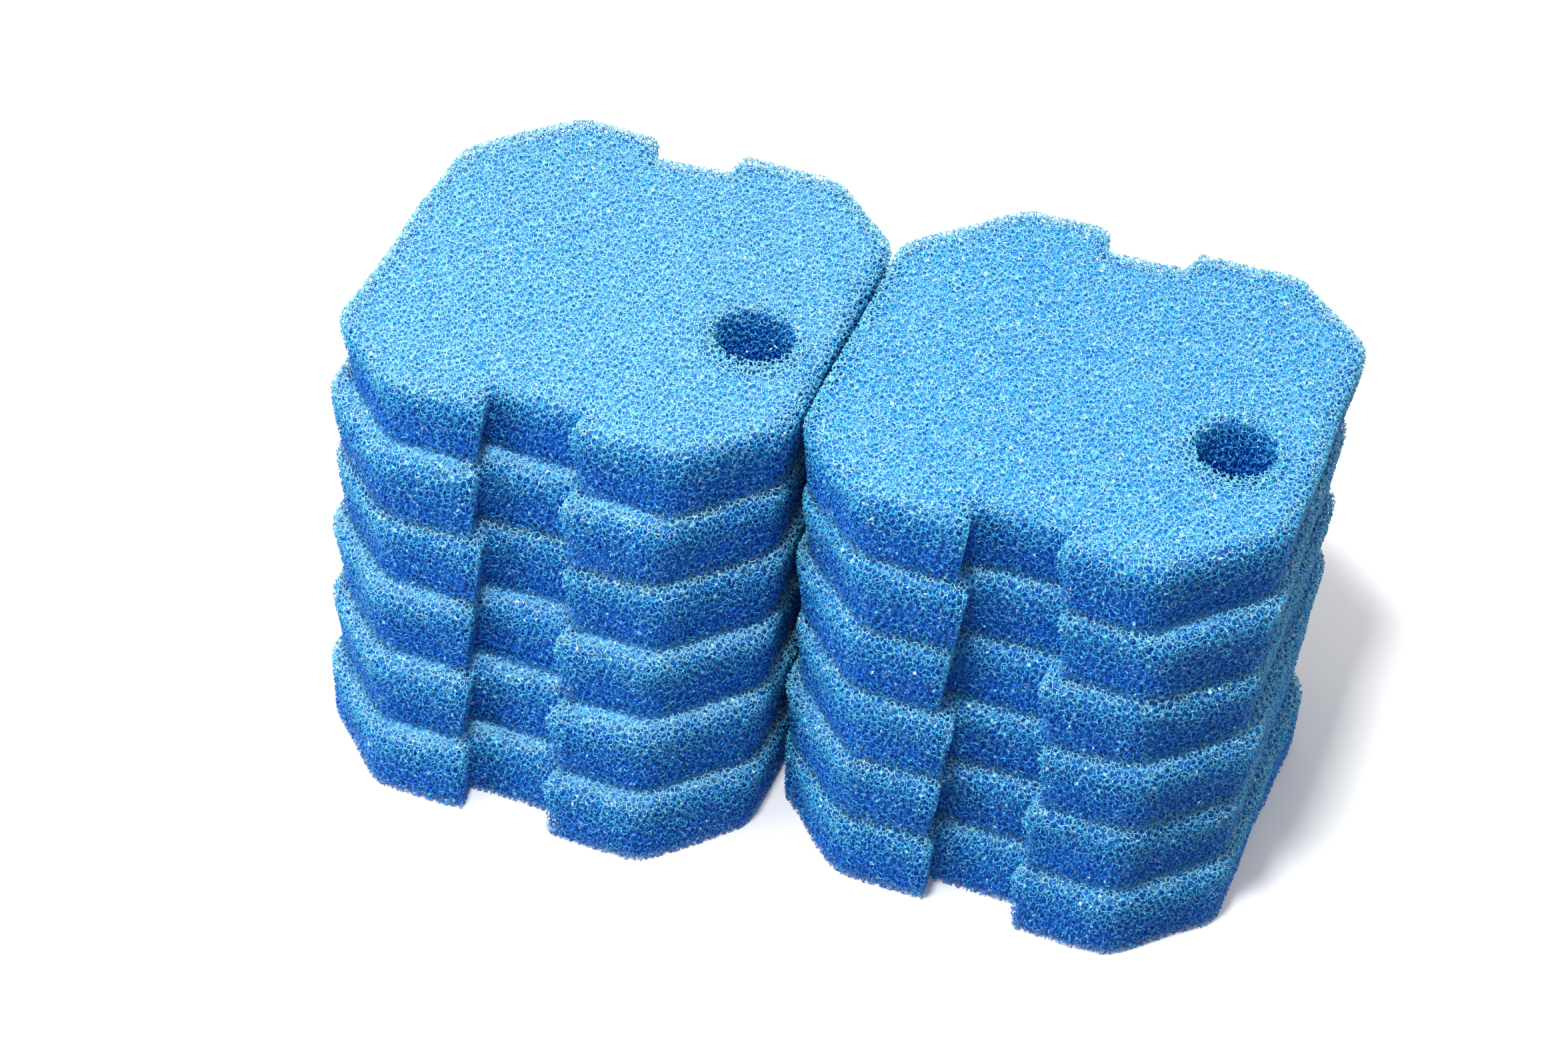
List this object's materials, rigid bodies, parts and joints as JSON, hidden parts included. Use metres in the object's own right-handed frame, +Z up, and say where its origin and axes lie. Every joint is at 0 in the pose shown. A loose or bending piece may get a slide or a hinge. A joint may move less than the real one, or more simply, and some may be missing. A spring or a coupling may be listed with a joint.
{
  "type": "sponge filter",
  "caption": "Square coarse open-cell foam filter pads with cut corners, edge notches and a pipe hole, lying in two stacks.",
  "frame": {"origin": "under the middle of the set's bounding box, on the surface it stands on", "axes": "+Z up, +X along the row from the left stack to the right one, the notched edges face -Y (front) and +Y (back)"},
  "size_m": [0.387, 0.2144, 0.2055],
  "materials": {
    "blue_foam": "satin"
  },
  "bodies": {
    "left_layer_1": {"left_pad_1": "blue_foam"},
    "left_layer_2": {"left_pad_2": "blue_foam"},
    "left_layer_3": {"left_pad_3": "blue_foam"},
    "left_layer_4": {"left_pad_4": "blue_foam"},
    "left_layer_5": {"left_pad_5": "blue_foam"},
    "left_layer_6": {"left_pad_6": "blue_foam"},
    "right_layer_1": {"right_pad_1": "blue_foam"},
    "right_layer_2": {"right_pad_2": "blue_foam"},
    "right_layer_3": {"right_pad_3": "blue_foam"},
    "right_layer_4": {"right_pad_4": "blue_foam"},
    "right_layer_5": {"right_pad_5": "blue_foam"},
    "right_layer_6": {"right_pad_6": "blue_foam"}
  },
  "joints": [
    {"name": "part_right_stack", "type": "slide", "parent": "left_layer_1", "child": "right_layer_1", "axis": [1, 0, 0], "range_m": [0, 0.12]},
    {"name": "lift_left_pad_2", "type": "slide", "parent": "left_layer_1", "child": "left_layer_2", "axis": [0, 0, 1], "range_m": [0, 0.06]},
    {"name": "lift_left_pad_3", "type": "slide", "parent": "left_layer_2", "child": "left_layer_3", "axis": [0, 0, 1], "range_m": [0, 0.06]},
    {"name": "lift_left_pad_4", "type": "slide", "parent": "left_layer_3", "child": "left_layer_4", "axis": [0, 0, 1], "range_m": [0, 0.06]},
    {"name": "lift_left_pad_5", "type": "slide", "parent": "left_layer_4", "child": "left_layer_5", "axis": [0, 0, 1], "range_m": [0, 0.06]},
    {"name": "lift_left_pad_6", "type": "slide", "parent": "left_layer_5", "child": "left_layer_6", "axis": [0, 0, 1], "range_m": [0, 0.06]},
    {"name": "lift_right_pad_2", "type": "slide", "parent": "right_layer_1", "child": "right_layer_2", "axis": [0, 0, 1], "range_m": [0, 0.06]},
    {"name": "lift_right_pad_3", "type": "slide", "parent": "right_layer_2", "child": "right_layer_3", "axis": [0, 0, 1], "range_m": [0, 0.06]},
    {"name": "lift_right_pad_4", "type": "slide", "parent": "right_layer_3", "child": "right_layer_4", "axis": [0, 0, 1], "range_m": [0, 0.06]},
    {"name": "lift_right_pad_5", "type": "slide", "parent": "right_layer_4", "child": "right_layer_5", "axis": [0, 0, 1], "range_m": [0, 0.06]},
    {"name": "lift_right_pad_6", "type": "slide", "parent": "right_layer_5", "child": "right_layer_6", "axis": [0, 0, 1], "range_m": [0, 0.06]}
  ]
}
